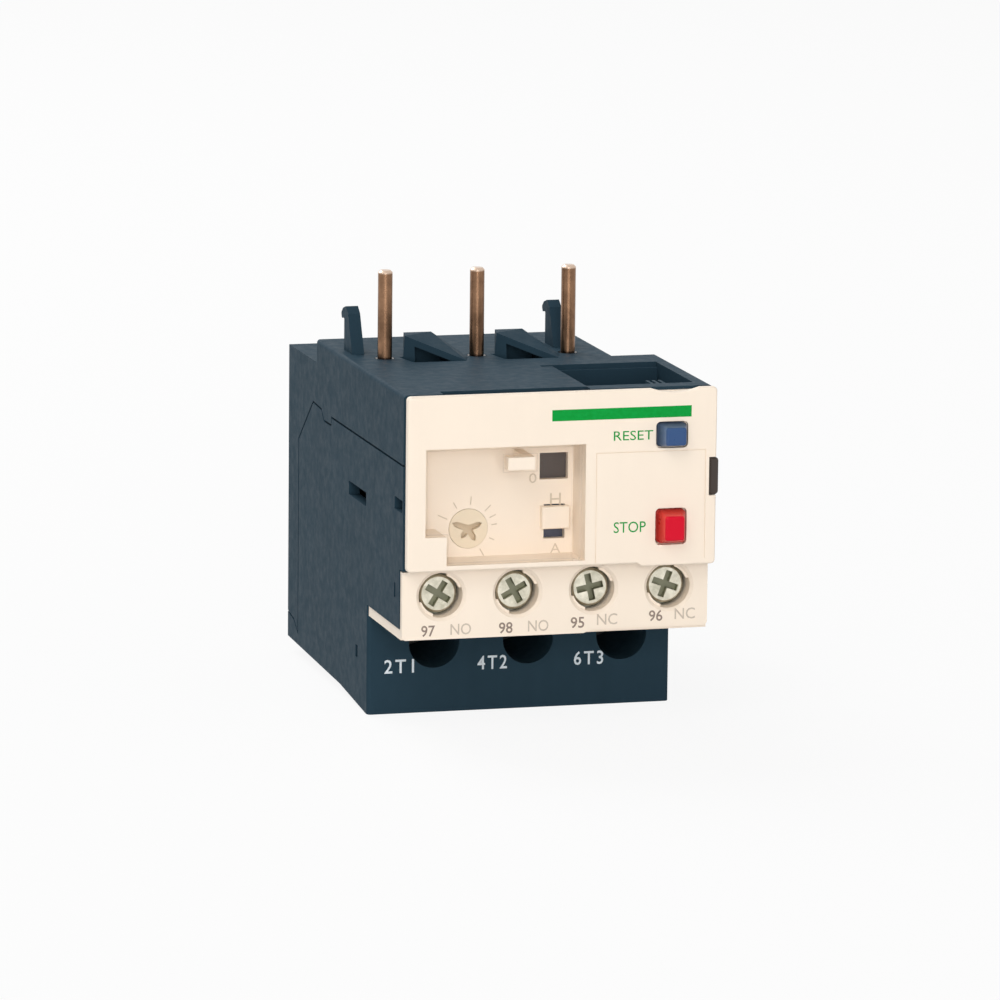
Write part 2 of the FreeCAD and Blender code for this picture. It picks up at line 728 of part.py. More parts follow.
def tapered_button(z, width, height, proud, travel, front_width, front_height):
    """A push button: a tapered rounded head, a sliding body and a long thin rod."""
    rings = []
    for w, h, y in ((width, height, 0.0), (front_width, front_height, -proud)):
        corners = [(-w / 2, -h / 2), (w / 2, -h / 2), (w / 2, h / 2), (-w / 2, h / 2)]
        rings.append([Vector(button_x + px, y, z + pz) for px, pz in corners])
    back, front = rings
    head = flat_solid([back, front] + [[back[i - 1], back[i], front[i], front[i - 1]] for i in range(4)])
    rounded = [e for e in head.Edges if e.CenterOfMass.y < -0.01]
    head = head.makeFillet(button_corner, rounded)
    body = block(button_x, z, width, height, -0.01, cover_thickness + 0.6)
    body = body.makeFillet(button_corner, edges_along(body, Vector(0, 1, 0), lambda p: True))
    rod = rod_y(button_x, z, rod_radius, cover_thickness, cover_thickness + guide_depth + rod_reach)
    return fuse(head, body, rod)


def reset_button():
    return tapered_button(reset_z, reset_width, reset_height, reset_proud, reset_travel,
                          reset_width - 1.5, reset_height - 1.1)


def stop_button():
    return tapered_button(stop_z, stop_width, stop_height, stop_proud, stop_travel,
                          stop_width - 1.8, stop_height - 1.3)


def button_spring(z):
    """A coil spring round the rod, with flat end turns, from the body's back to the end wall of the guide.
    It is a six-sided wire: rings of six points stand along the helix, and flat faces join them."""
    y0 = cover_thickness + 0.6 + spring_wire / 2
    y1 = cover_thickness + guide_depth - 0.8 - spring_wire / 2
    radius = rod_radius + 0.15 + spring_wire
    steps = 12 * spring_turns
    flat = 9
    lift = (y1 - y0 - 2 * spring_wire * flat / 12) / (steps - 2 * flat)
    rings = []
    height = y0
    for i in range(steps + 1):
        turn = radians(30.0 * i)
        out = Vector(cos(turn), 0, sin(turn))
        centre = Vector(button_x, height, z) + out * radius
        ring = []
        for k in range(6):
            angle = radians(60.0 * k)
            along = Vector(0, sin(angle) * spring_wire / 2, 0)
            ring.append(centre + out * (cos(angle) * spring_wire / 2) + along)
        rings.append(ring)
        height += spring_wire / 12 if i < flat or i >= steps - flat else lift
    faces = [rings[0], rings[-1]]
    for near, far in zip(rings[:-1], rings[1:]):
        for k in range(6):
            faces.append([near[k - 1], near[k], far[k]])
            faces.append([near[k - 1], far[k], far[k - 1]])
    return flat_solid(faces)


def mode_selector():
    """The hand and automatic selector: a block on the window's floor with a tail through its slot."""
    front = window_depth - 1.2
    block_front = block(selector_x, selector_z, selector_width, selector_height, front, window_depth)
    edges = [e for e in block_front.Edges if e.CenterOfMass.y < front + 0.01]
    block_front = block_front.makeFillet(0.25, edges)
    tail_top = selector_z + selector_height / 2 - 0.4
    neck = box(selector_x - 1.2, selector_x + 1.5, window_depth - 0.1, floor_back + 0.1,
               selector_z - selector_height / 2 + 0.1, tail_top)
    keeper = box(selector_x - 2.0, selector_x + 2.2, floor_back + fit, floor_back + 0.9,
                 selector_z - selector_height / 2 + 0.1, tail_top)
    return fuse(block_front, neck, keeper)


def selector_plate():
    """The dark blue plate behind the selector's slot."""
    low = selector_z - selector_height / 2 - selector_travel - 0.9
    return box(selector_x - 2.0, selector_x + 2.2, floor_back + 1.0, floor_back + 1.4,
               low, selector_z + selector_height / 2 + 0.6)


def trip_flag():
    y0 = floor_back + gap
    return box(trip_x - 2.3, trip_x + 2.3, y0, y0 + 0.8, trip_z - 4.6, trip_z + 2.6)


def contact_carriage():
    """The slider behind the window's floor: it carries the flag and lifts both contact springs."""
    y0 = floor_back + gap + 0.8
    y1 = y0 + 1.3
    plate = box(trip_x - 1.8, trip_x + 1.8, y0 + 0.5, y1 + 0.4, carriage_bottom, carriage_top)
    pad = box(trip_x - 2.3, trip_x + 2.3, y0, y1, trip_z - 3.8, trip_z + 2.6)
    bar = box(trip_x - 3.6, trip_x + 3.6, y1 + 0.3, leaf_y() + leaf_width - 0.4,
              carriage_bottom + 0.3, finger_z())
    middle_cut = box(trip_x - 2.4, trip_x + 2.4, y1 + 1.8, leaf_y() + leaf_width + 1,
                     carriage_bottom - 1, finger_z() + 1)
    peg = box(trip_x - 1.2, trip_x + 1.2, y1 + 0.2, crank_y() + 2.2, carriage_top - 1.4, carriage_top)
    return fuse(plate, pad, cut(bar, middle_cut), peg)


def leaf_y():
    return plate_front + aux_plate + 0.6


def finger_z():
    return carriage_bottom + 1.8


def leaf_z():
    """Height of the contact springs' underside, just above the carriage's fingers."""
    return finger_z() + gap


def crank_y():
    return floor_back + 9.8


def contact_plates():
    """The four auxiliary terminal plates, each with a thread collar and the tab that its contact needs."""
    plates = []
    y0, y1 = plate_front, plate_front + aux_plate
    tab_back = leaf_y() + leaf_width
    for i, x in enumerate(aux_x):
        sheet = box(x - 3.1, x + 3.1, y0, y1, strip_bottom + shelf_thickness, leaf_z() - 2.0)
        collar = rod_y(x, aux_z, aux_thread_radius + 0.8, y1 - 0.1, y1 + 1.2)
        if i == 0:
            riser = box(x - 2.6, x + 1.6, y0, y1, leaf_z() - 2.5, leaf_z())
            tab = box(x - 2.6, x + 1.6, y0, tab_back, leaf_z() - aux_plate, leaf_z())
        elif i == 3:
            riser = box(x - 1.6, x + 2.6, y0, y1, leaf_z() - 2.5, leaf_z())
            tab = box(x - 1.6, x + 2.6, y0, tab_back, leaf_z() - aux_plate, leaf_z())
        elif i == 1:
            top = leaf_z() + leaf_thickness + 0.5 + contact_share * carriage_travel + 0.55
            riser = box(x - 1.4, x + 1.2, y0, y1, leaf_z() - 2.5, top + aux_plate)
            tab = fuse(box(x - 1.4, x + 1.2, y0, tab_back, top, top + aux_plate),
                       rod_z(x + 0.2, leaf_y() + leaf_width / 2, 0.8, top - 0.4, top + 0.2))
        else:
            top = leaf_z() - 0.8
            riser = box(x - 1.2, x + 1.4, y0, y1, leaf_z() - 2.5, top)
            tab = fuse(box(x - 1.2, x + 1.4, y0, tab_back, top - aux_plate, top),
                       rod_z(x - 0.2, leaf_y() + leaf_width / 2, 0.8, top - 0.2, top + 0.4))
        thread = rod_y(x, aux_z, aux_thread_radius + running_fit, y0 - 1, y1 + 2)
        plates.append(cut(fuse(sheet, collar, riser, tab), thread))
    return plates


def contact_springs():
    """The normally open and normally closed leaf springs, each with its contact rivet."""
    y0, y1 = leaf_y(), leaf_y() + leaf_width
    z0, z1 = leaf_z(), leaf_z() + leaf_thickness
    reach = trip_x - 2.6
    open_leaf = box(aux_x[0] - 2.4, reach, y0, y1, z0, z1)
    open_leaf = fuse(open_leaf, rod_z(aux_x[1] + 0.2, (y0 + y1) / 2, 0.8, z1 - 0.1, z1 + 0.5))
    closed_leaf = box(trip_x + 2.6, aux_x[3] + 2.4, y0, y1, z0, z1)
    closed_leaf = fuse(closed_leaf, rod_z(aux_x[2] - 0.2, (y0 + y1) / 2, 0.8, z0 - 0.4, z0 + 0.1))
    return open_leaf, closed_leaf


def auxiliary_terminal_strip():
    half = strip_width / 2
    step = 0.4
    top = cover_bottom - 0.5
    outline = [(-half, top), (half, top), (half, strip_bottom + step), (5.3, strip_bottom + step),
               (4.2, strip_bottom), (-half, strip_bottom)]
    plate = prism_xz(outline, strip_front, strip_front + flange)
    rear = box(-inner_x + 0.2, inner_x - 0.2, strip_front + 0.5, strip_back, strip_bottom + step, top)
    corners = edges_along(plate, Vector(0, 1, 0), lambda p: abs(p.x) > half - 0.01 and p.z < strip_bottom + 1)
    plate = plate.makeFillet(corner_radius, corners)
    shelf = box(-half, half, strip_front + 0.6, base_front - fit, strip_bottom,
                strip_bottom + shelf_thickness)
    walls = []
    for left, right in zip(aux_x[:-1], aux_x[1:]):
        x = (left + right) / 2
        walls.append(box(x - 0.6, x + 0.6, strip_back - 0.3, plate_front + aux_plate + 1.0,
                         strip_bottom + 0.5, aux_z + 2.6))
    # Back wall that carries the terminal plates
    carrier = box(-inner_x + gap, inner_x - gap, plate_front + aux_plate, plate_front + aux_plate + 1.0,
                  strip_bottom + 0.5, aux_z - aux_thread_radius - 1.0)
    side = 2 * aux_hole_radius + 1.0
    tubes = [block(x, aux_z, side, side, strip_front + 0.5, aux_head_back - 0.4) for x in aux_x]
    strip = fuse(plate, rear, shelf, carrier, *(walls + tubes))
    holes = []
    for x in aux_x:
        holes.append(rod_y(x, aux_z, aux_hole_radius, strip_front - 1, aux_head_back))
        holes.append(Part.makeCone(aux_hole_radius + 0.45, aux_hole_radius, 0.45,
                                   Vector(x, strip_front - 0.01, aux_z), Vector(0, 1, 0)))
        holes.append(box(x - 2.4, x + 2.4, washer_back - 0.1, plate_front - 0.1, strip_bottom - 1, base_top))
    strip = cut(strip, *holes)
    ledges = []
    for x in aux_x:
        ring = cut(rod_y(x, aux_z, aux_hole_radius + 0.2, strip_front + 0.7, strip_front + 1.3),
                   rod_y(x, aux_z, aux_hole_radius - 0.35, strip_front, strip_front + 2))
        ledges.append(ring.common(block(x + 2.0, aux_z + 2.0, 2.0, 2.0, strip_front, strip_front + 2)))
        ledges.append(ring.common(block(x - 2.0, aux_z - 2.0, 2.0, 2.0, strip_front, strip_front + 2)))
    return fuse(strip, *ledges)


def cross_slots(x, y, z, length, width, depth, turn):
    """A cross recess cut into a screw head."""
    bars = []
    for angle in (turn, turn + 90.0):
        bar = box(-length / 2, length / 2, y - 1, y + depth, -width / 2, width / 2)
        bar.rotate(Vector(0, 0, 0), Vector(0, 1, 0), angle)
        bar.translate(Vector(x, 0, z))
        bars.append(bar)
    return bars


def auxiliary_screws():
    screws = []
    for x, turn in zip(aux_x, (32.0, 62.0, 78.0, 20.0)):
        y0 = head_front
        head = rod_y(x, aux_z, aux_head_radius, y0, aux_head_back)
        rim = [e for e in head.Edges if e.CenterOfMass.y < y0 + 0.01 and e.Curve.TypeId == "Part::GeomCircle"]
        head = head.makeChamfer(0.35, rim)
        shank = rod_y(x, aux_z, aux_thread_radius, aux_head_back - 0.1, plate_front + aux_plate + 1.2)
        screws.append(cut(fuse(head, shank), *cross_slots(x, y0, aux_z, 3.9, 0.95, 1.1, turn)))
    return screws


def auxiliary_washers():
    washers = []
    for x in aux_x:
        plate = block(x, aux_z, 6.6, 6.6, aux_head_back, washer_back)
        hole = rod_y(x, aux_z, aux_thread_radius + running_fit, strip_back, washer_back + 1)
        washers.append(cut(plate, hole))
    return washers


def line_pin(x):
    """A copper line pin with its foot plate and the tab that its bimetal is welded to."""
    pin = rod_z(x, pin_y, pin_radius, deck_height - 0.1, deck_height + pin_length)
    shoulder = rod_z(x, pin_y, pin_shoulder, pin_foot_z + 0.1, deck_height)
    rim = [e for e in pin.Edges if e.CenterOfMass.z > deck_height + pin_length - 0.01
           and e.Curve.TypeId == "Part::GeomCircle"]
    pin = pin.makeChamfer(0.3, rim)
    foot = box(x - 3.0, x + 3.0, pin_y - 3.0, pin_y + 3.0, pin_foot_z, pin_foot_z + pin_foot_thickness)
    tab_x = x + bimetal_thickness / 2
    tab = box(tab_x, tab_x + 1.0, pin_y - bimetal_width / 2, pin_y + bimetal_width / 2,
              pin_foot_z - pin_tab, pin_foot_z + 0.1)
    return fuse(pin, shoulder, foot, tab)


def bimetal(x):
    y0, y1 = pin_y - bimetal_width / 2, pin_y + bimetal_width / 2
    return box(x - bimetal_thickness / 2, x + bimetal_thickness / 2, y0, y1, bimetal_bottom, bimetal_top)


def heater(x):
    """The heater winding: flat turns round the bimetal, with a lead that reaches the load strap."""
    inner_w = bimetal_thickness + 2 * fit
    inner_d = bimetal_width + 2 * fit
    z0 = upper_slide_z + slide_thickness / 2 + 1.6
    pitch = (pin_foot_z - pin_tab - z0) / (heater_turns + 1.875)
    coil = box(x - 1.3, x + 1.3, pin_y - inner_d / 2 - 0.7, pin_y + inner_d / 2 + 0.7,
               z0, z0 + heater_turns * pitch)
    for i in range(heater_turns):
        z = z0 + 0.15 * pitch + i * pitch
        turn = box(x - 2.0, x + 2.0, pin_y - inner_d / 2 - 1.2, pin_y + inner_d / 2 + 1.2, z, z + 0.6 * pitch)
        coil = coil.fuse(turn)
    lead = box(x + 1.0, x + 2.0, pin_y + inner_d / 2 + 0.9, strap_y, z0 + 0.4, z0 + 1.4)
    hole = box(x - inner_w / 2, x + inner_w / 2, pin_y - inner_d / 2, pin_y + inner_d / 2, z0 - 1, z0 + 20)
    return cut(fuse(coil, lead), hole)


def load_strap(x, pin):
    """The flat copper strap: an arm behind the heater's lead, and a leg down into the terminal cage."""
    half = strap_width / 2
    top = upper_slide_z + slide_thickness / 2 + 4.5
    leg = box(x - half, x + half, strap_y, strap_y + strap_thickness, terminal_z - 3.6, top)
    arm = box(pin, x, strap_y, strap_y + strap_thickness, top - 3.0, top)
    return fuse(leg, arm)


def terminal_cage(x):
    z0, z1 = terminal_z - cage_height / 2, terminal_z + cage_height / 2
    outer = box(x - cage_width / 2, x + cage_width / 2, cage_front, cage_back, z0, z1)
    inner = box(x - cage_width / 2 + cage_wall, x + cage_width / 2 - cage_wall,
                cage_front + cage_wall, cage_back - cage_wall, z0 - 1, z1 + 1)
    upright = edges_along(outer, Vector(0, 0, 1), lambda p: True)
    outer = outer.makeFillet(0.8, upright)
    hole = rod_y(x, terminal_z, power_thread_radius + running_fit, cage_front - 1, cage_front + cage_wall + 1)
    return cut(outer, inner, hole)


def terminal_screw(x):
    y0 = head_back - 2.4
    head = rod_y(x, terminal_z, power_head_radius, y0, head_back)
    shank = rod_y(x, terminal_z, power_thread_radius, head_back - 0.1, strap_y)
    return cut(fuse(head, shank), *cross_slots(x, y0, terminal_z, 4.4, 1.0, 1.3, 25.0))


def slide_bar(z, side):
    """A slide with one finger per bimetal. The upper one also has the pusher for the trip train."""
    left = line_pin_x[0] - 2.2
    right = line_pin_x[2] + 2.6
    y0, y1 = slide_y - slide_width / 2, slide_y + slide_width / 2
    z0, z1 = z - slide_thickness / 2, z + slide_thickness / 2
    bar = box(left, right, y0, y1, z0, z1)
    fingers = []
    for x in line_pin_x:
        near = x + side * (bimetal_thickness / 2 + gap)
        far = near + side * 1.2
        fingers.append(box(min(near, far), max(near, far), y1 - 0.1, pin_y + 1.0, z0, z1))
    return fuse(bar, *fingers)


def overload_slide():
    z0, z1 = upper_slide_z - slide_thickness / 2, upper_slide_z + slide_thickness / 2
    touch = comp_pivot_x + comp_thickness / 2 + gap
    arm = box(touch, touch + 1.4, crank_y() + 0.4, slide_y, z0, z1)
    return fuse(slide_bar(upper_slide_z, -1), arm)


def differential_slide():
    return slide_bar(lower_slide_z, 1)


def differential_lever():
    """The lever that joins both slides at their right end and adds to the travel when one phase lags."""
    x = line_pin_x[2] + 2.6
    y0, y1 = slide_y - 1.2, slide_y + 1.2
    low = lower_slide_z - slide_thickness / 2
    high = upper_slide_z + slide_thickness / 2 + 3.0
    return box(x, x + 0.9, y0, y1, low, high)


def compensation_lever():
    """The compensating bimetal lever: pushed at its foot, it turns and pushes the crank at its top."""
    y0 = crank_y()
    x = comp_pivot_x
    half = comp_thickness / 2
    strip = box(x - half, x + half, y0, y0 + 3.4, upper_slide_z - 0.8, comp_top)
    hub = rod_y(x, comp_pivot_z, pivot_radius + 0.8, y0, y0 + 3.4)
    return cut(fuse(strip, hub), rod_y(x, comp_pivot_z, pivot_radius + running_fit, y0 - 1, y0 + 5))


def trip_crank():
    """The crank: a short arm down beside the compensation lever and a long one under the carriage's peg."""
    y0, y1 = crank_y(), crank_y() + 2.0
    x, z = crank_pivot_x, crank_pivot_z
    peg_under = carriage_top - 1.4 - gap
    touch = comp_pivot_x + comp_thickness / 2 + gap
    down = prism_xz([(touch, crank_arm_z), (touch + 1.4, crank_arm_z), (x + 1.3, z), (x - 1.3, z),
                     (touch, z - 3.0)], y0, y1)
    long = prism_xz([(x, z - 1.5), (x, z + 1.3), (trip_x - 1.8, peg_under), (trip_x + 1.4, peg_under),
                     (trip_x + 1.4, peg_under - 1.0), (trip_x - 2.4, peg_under - 1.0)], y0, y1)
    hub = rod_y(x, z, pivot_radius + 1.0, y0, y1)
    return cut(fuse(down, long, hub), rod_y(x, z, pivot_radius + running_fit, y0 - 1, y1 + 1))


def pivot_pin(x, z, front):
    return rod_y(x, z, pivot_radius, front, base_front + partition)


def side_latch():
    """The dark snap latch at the right edge that holds the cover."""
    tab = box(half_width - 1.0, half_width + 0.35, 0.1, cover_thickness + 3.0,
              latch_low + fit, latch_high - fit)
    ends = edges_along(tab, Vector(0, 1, 0), lambda p: p.x > half_width)
    tab = tab.makeFillet(0.5, ends)
    front = [e for e in tab.Edges if e.CenterOfMass.y < 0.11 and e.CenterOfMass.x > half_width - 1.1]
    return tab.makeChamfer(0.25, front)


def save(name, shape):
    shape = shape.copy()
    shape.translate(origin * -1)
    shape.exportStep("parts/" + name + ".step")


def main():
    os.makedirs("parts", exist_ok=True)
    save("main_housing", main_housing())
    save("rear_housing", rear_housing())
    save("front_cover", front_cover())
    save("clear_cover", clear_cover())
    save("auxiliary_terminal_strip", auxiliary_terminal_strip())
    save("side_latch", side_latch())
    save("setting_dial", setting_dial())
    save("setting_follower", setting_follower())
    save("reset_button", reset_button())
    save("stop_button", stop_button())
    save("reset_spring", button_spring(reset_z))
    save("stop_spring", button_spring(stop_z))
    save("mode_selector", mode_selector())
    save("selector_plate", selector_plate())
    save("trip_flag", trip_flag())
    save("contact_carriage", contact_carriage())
    for number, plate in zip((97, 98, 95, 96), contact_plates()):
        save("terminal_plate_%d" % number, plate)
    open_leaf, closed_leaf = contact_springs()
    save("open_contact_spring", open_leaf)
    save("closed_contact_spring", closed_leaf)
    save("auxiliary_screws", Part.makeCompound(auxiliary_screws()))
    save("clamp_washers", Part.makeCompound(auxiliary_washers()))
    for i in range(3):
        save("line_pin_%d" % (i + 1), line_pin(line_pin_x[i]))
        save("bimetal_%d" % (i + 1), bimetal(line_pin_x[i]))
        save("heater_%d" % (i + 1), heater(line_pin_x[i]))
        save("load_strap_%d" % (i + 1), load_strap(terminal_x[i], line_pin_x[i]))
        save("terminal_cage_%d" % (i + 1), terminal_cage(terminal_x[i]))
        save("terminal_screw_%d" % (i + 1), terminal_screw(terminal_x[i]))
    save("overload_slide", overload_slide())
    save("differential_slide", differential_slide())
    save("differential_lever", differential_lever())
    save("compensation_lever", compensation_lever())
    save("trip_crank", trip_crank())
    save("compensation_pivot", pivot_pin(comp_pivot_x, comp_pivot_z, cam_y() - 0.3))
    save("crank_pivot", pivot_pin(crank_pivot_x, crank_pivot_z, crank_y() - 0.6))


main()
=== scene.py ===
import bpy
import numpy as np
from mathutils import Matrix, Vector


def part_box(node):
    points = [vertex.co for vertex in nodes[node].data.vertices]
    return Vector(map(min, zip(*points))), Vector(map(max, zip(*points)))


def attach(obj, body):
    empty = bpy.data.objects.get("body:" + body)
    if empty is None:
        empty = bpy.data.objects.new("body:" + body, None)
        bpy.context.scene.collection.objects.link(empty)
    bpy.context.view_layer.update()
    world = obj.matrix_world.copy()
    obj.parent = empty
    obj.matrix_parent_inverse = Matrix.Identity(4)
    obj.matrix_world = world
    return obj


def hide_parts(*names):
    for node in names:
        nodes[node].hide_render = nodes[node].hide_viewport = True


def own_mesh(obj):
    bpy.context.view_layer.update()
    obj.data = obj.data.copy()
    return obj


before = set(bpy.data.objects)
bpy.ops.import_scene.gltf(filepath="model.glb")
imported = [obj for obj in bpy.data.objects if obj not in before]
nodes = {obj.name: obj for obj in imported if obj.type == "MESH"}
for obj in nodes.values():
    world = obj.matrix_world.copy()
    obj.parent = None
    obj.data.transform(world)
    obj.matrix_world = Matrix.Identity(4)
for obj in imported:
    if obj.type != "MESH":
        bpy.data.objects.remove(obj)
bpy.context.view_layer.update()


# Housing shells: glass-filled polyamide, injection moulded in a blue grey, with a fine spark-eroded
# grain, faint flow streaks from the gate and a slight unevenness of gloss.
def srgb(r, g, b):
    """A screen colour of 0 to 255 as linear light: ((c + 0.055) / 1.055) to the power 2.4 above 0.04."""
    c = np.array([r, g, b]) / 255.0
    linear = np.where(c > 0.04045, ((c + 0.055) / 1.055) ** 2.4, c / 12.92)
    return (*linear.tolist(), 1.0)


def shade(colour, factor):
    """A colour made darker or lighter by a factor."""
    return (colour[0] * factor, colour[1] * factor, colour[2] * factor, 1.0)


def node_tree(name):
    """A new material, its node tree and the shader in it."""
    material = bpy.data.materials.new(name)
    material.use_nodes = True
    tree = material.node_tree
    return material, tree, tree.nodes["Principled BSDF"]


def add(tree, kind, **values):
    """A node of a kind, with its plain properties and its numbered or named inputs set."""
    node = tree.nodes.new(kind)
    for key, value in values.items():
        if key.startswith("in_"):
            key = key[3:]
            node.inputs[int(key) if key.isdigit() else key.replace("_", " ")].default_value = value
        else:
            setattr(node, key, value)
    return node


def noise(tree, scale, detail=3.0, roughness=0.55, stretch=(1.0, 1.0, 1.0)):
    """Noise on object coordinates, stretched along the axes, with its scale in cells per metre."""
    where = add(tree, "ShaderNodeTexCoord")
    mapping = add(tree, "ShaderNodeMapping", in_Scale=stretch)
    texture = add(tree, "ShaderNodeTexNoise", in_Scale=scale, in_Detail=detail, in_Roughness=roughness)
    tree.links.new(where.outputs["Object"], mapping.inputs["Vector"])
    tree.links.new(mapping.outputs["Vector"], texture.inputs["Vector"])
    return texture.outputs["Fac"]


def ramp(tree, source, low, high, dark, light):
    """A linear blend from dark to light as source goes from low to high."""
    node = add(tree, "ShaderNodeValToRGB")
    node.color_ramp.elements[0].position = low
    node.color_ramp.elements[1].position = high
    node.color_ramp.elements[0].color = dark
    node.color_ramp.elements[1].color = light
    tree.links.new(source, node.inputs["Fac"])
    return node.outputs["Color"]


def spread(tree, source, low, high):
    """Source, remapped from its middle range to low..high."""
    node = add(tree, "ShaderNodeMapRange", in_1=0.3, in_2=0.7, in_3=low, in_4=high)
    tree.links.new(source, node.inputs[0])
    return node.outputs[0]


def emboss(tree, shader, height, strength):
    """Relief 0.02 mm deep from a height pattern."""
    relief = add(tree, "ShaderNodeBump", in_Strength=strength, in_Distance=0.00002)
    tree.links.new(height, relief.inputs["Height"])
    tree.links.new(relief.outputs["Normal"], shader.inputs["Normal"])


def moulded(name, colour, bump=0.15, rough=(0.4, 0.55), mottle=0.06, streaks=0.05, level=0.5):
    """A moulded plastic: its colour varies in clouds about 11 mm across and in streaks down the wall,
    its gloss in patches of 1.4 mm, and its relief is a grain of 0.25 mm."""
    material, tree, shader = node_tree(name)
    clouds = noise(tree, 90.0, 4.0)
    flow = noise(tree, 60.0, 5.0, 0.6, (6.0, 6.0, 0.7))
    swing = mottle + streaks
    blend = add(tree, "ShaderNodeMix", data_type="FLOAT", in_0=streaks / swing)
    tree.links.new(clouds, blend.inputs[2])
    tree.links.new(flow, blend.inputs[3])
    tone = ramp(tree, blend.outputs[0], 0.3, 0.7, shade(colour, 1 - swing), shade(colour, 1 + swing))
    tree.links.new(tone, shader.inputs["Base Color"])
    tree.links.new(spread(tree, noise(tree, 700.0, 3.0), *rough), shader.inputs["Roughness"])
    emboss(tree, shader, noise(tree, 4000.0, 2.0), bump)
    shader.inputs["Specular IOR Level"].default_value = level
    return material


def paint(material, *names):
    """Puts a material into every slot of these CAD nodes."""
    for name in names:
        data = nodes[name].data
        for i in range(len(data.materials)):
            data.materials[i] = material
        if not data.materials:
            data.materials.append(material)


housing_plastic = moulded("housing_plastic", srgb(39, 59, 71), bump=0.3, rough=(0.45, 0.6), mottle=0.03,
                          streaks=0.03, level=0.04)
paint(housing_plastic, "main_housing", "rear_housing")


# Line pins: drawn copper, browned by its oxide, with fine lengthwise drawing lines and darker blotches.
# The foot of each pin is painted dark, as painted shadow of its hole, and its chamfered tip is painted
# bright: partly bare copper and partly a painted highlight.
def metal(name, colour, dark, stretch=(1.0, 1.0, 1.0), scale=1500.0, rough=(0.25, 0.45), blotch=180.0):
    """A metal: two tones blended by blotches, with drawing lines, from stretched noise, in its gloss and
    relief."""
    material, tree, shader = node_tree(name)
    tone = ramp(tree, noise(tree, blotch, 6.0, 0.65), 0.35, 0.68, dark, colour)
    tree.links.new(tone, shader.inputs["Base Color"])
    lines = noise(tree, scale, 4.0, 0.6, stretch)
    tree.links.new(spread(tree, lines, *rough), shader.inputs["Roughness"])
    emboss(tree, shader, lines, 0.1)
    shader.inputs["Metallic"].default_value = 1.0
    return material


# Places on the body are in millimetres: X from its middle, Y from the cover's face, and Z from the
# bottom edge of the base. The origin of the frame is where the middle line pin leaves the deck.
ORIGIN = np.array([-3.3, 34.4, 49.5])


def band(tree, start, stop, axis):
    """0 before start and 1 past stop, two places along the body's Y or Z, and even in between."""
    where = add(tree, "ShaderNodeTexCoord")
    split = add(tree, "ShaderNodeSeparateXYZ")
    tree.links.new(where.outputs["Object"], split.inputs[0])
    start, stop = ((value - ORIGIN["XYZ".index(axis)]) / 1000 for value in (start, stop))
    share = add(tree, "ShaderNodeMapRange", in_1=start, in_2=stop, in_3=0.0, in_4=1.0)
    tree.links.new(split.outputs[axis], share.inputs[0])
    return share.outputs[0]


def deeper(material, start, stop, colour, axis="Y"):
    """Blends a material's colour to another one as the body's Y or Z goes from start to stop."""
    tree = material.node_tree
    shader = tree.nodes["Principled BSDF"]
    before = shader.inputs["Base Color"].links[0].from_socket
    blend = add(tree, "ShaderNodeMix", data_type="RGBA", in_7=colour)
    tree.links.new(band(tree, start, stop, axis), blend.inputs[0])
    tree.links.new(before, blend.inputs[6])
    tree.links.new(blend.outputs[2], shader.inputs["Base Color"])


pin_copper = metal("browned_copper", srgb(152, 117, 91), srgb(108, 82, 63), (1.0, 1.0, 0.05), 2500.0,
                   (0.2, 0.4), 260.0)
# Painted shadow at the foot of each pin, then the tip painted bright: bare copper and a painted
# highlight.
deeper(pin_copper, 49.85, 49.55, srgb(44, 34, 30), "Z")
deeper(pin_copper, 61.75, 61.95, srgb(206, 182, 162), "Z")
paint(pin_copper, "line_pin_1", "line_pin_2", "line_pin_3")

# Load straps: the same copper, rolled flat and punched, a little lighter than the pins. The rolling
# lines run to the back.
copper = metal("rolled_copper", srgb(160, 122, 96), srgb(96, 72, 56), (1.0, 0.05, 1.0), 2500.0,
               (0.2, 0.4), 260.0)
paint(copper, "load_strap_1", "load_strap_2", "load_strap_3")

# Bimetals and compensation lever: two metals rolled together and cut into strips, with fine lines
# along them. The heater's resistance metal, wound round each bimetal, has a dull brown oxide.
strip_metal = metal("rolled_bimetal", srgb(190, 186, 176), srgb(150, 146, 136), (1.0, 1.0, 0.05), 2500.0)
paint(strip_metal, "bimetal_1", "bimetal_2", "bimetal_3", "compensation_lever")
heater_metal = metal("oxidised_heater_wire", srgb(140, 130, 118), srgb(84, 74, 66), scale=900.0,
                     rough=(0.4, 0.6))
paint(heater_metal, "heater_1", "heater_2", "heater_3")

# Slides, contact carriage and setting follower: mouldings of natural white acetal, which runs on the
# housing's polyamide without grease. Their surface is even, with hardly any grain.
acetal = moulded("white_acetal", srgb(226, 224, 214), bump=0.08, rough=(0.3, 0.42), mottle=0.01,
                 streaks=0.015)
paint(acetal, "overload_slide", "differential_slide", "contact_carriage", "setting_follower")

# Side latch, differential lever and trip crank: a dark brown filled polyamide, stiff enough for the
# thrust of the slides. The latch is the one that shows, at the right edge of the cover.
brown_plastic = moulded("brown_plastic", srgb(66, 58, 53), bump=0.25, rough=(0.42, 0.55), mottle=0.05,
                        streaks=0.03, level=0.2)
paint(brown_plastic, "side_latch", "differential_lever", "trip_crank")

# Washers, pivot pins, terminal plates and cages: zinc-plated steel, turned or punched and bent, then
# passivated to a slightly green grey in small blotches.
zinc = metal("zinc_plated_steel", srgb(186, 184, 168), srgb(128, 130, 116), scale=1800.0,
             rough=(0.3, 0.5), blotch=700.0)
paint(zinc, "clamp_washers", "compensation_pivot", "crank_pivot")
paint(zinc, *["terminal_plate_%d" % number for number in (97, 98, 95, 96)])
paint(zinc, *["terminal_cage_%d" % number for number in (1, 2, 3)])

